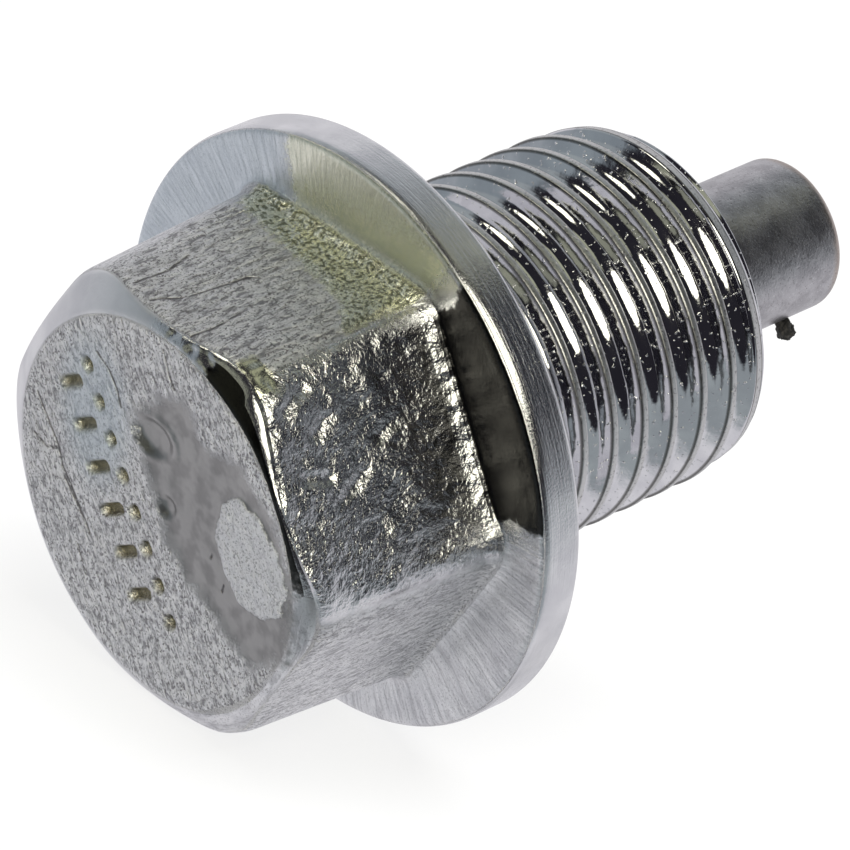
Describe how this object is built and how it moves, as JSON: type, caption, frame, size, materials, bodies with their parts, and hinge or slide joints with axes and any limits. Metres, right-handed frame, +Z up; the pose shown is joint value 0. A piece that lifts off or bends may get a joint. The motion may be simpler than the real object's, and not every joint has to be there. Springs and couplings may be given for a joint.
{
  "type": "magnetic oil drain plug",
  "caption": "Flanged hexagon drain plug for an oil pan, with a fine thread and a magnet standing out of its end to catch steel chips.",
  "frame": {"origin": "on the floor under the middle of the plug, which lies at rest on its flange's rim and the outer edge of one hexagon flat", "axes": "+Z up; +X along the floor from the head to the magnet, with the plug's axis in the XZ plane and rising 22.4 degrees towards +X; one flat of the hexagon faces down and towards +X"},
  "size_m": [0.028, 0.0194, 0.019],
  "materials": {
    "zinc_plated_steel": "satin",
    "magnet_grey": "matte"
  },
  "bodies": {
    "root": {"plug_body": "zinc_plated_steel", "magnet": "magnet_grey"}
  },
  "joints": []
}
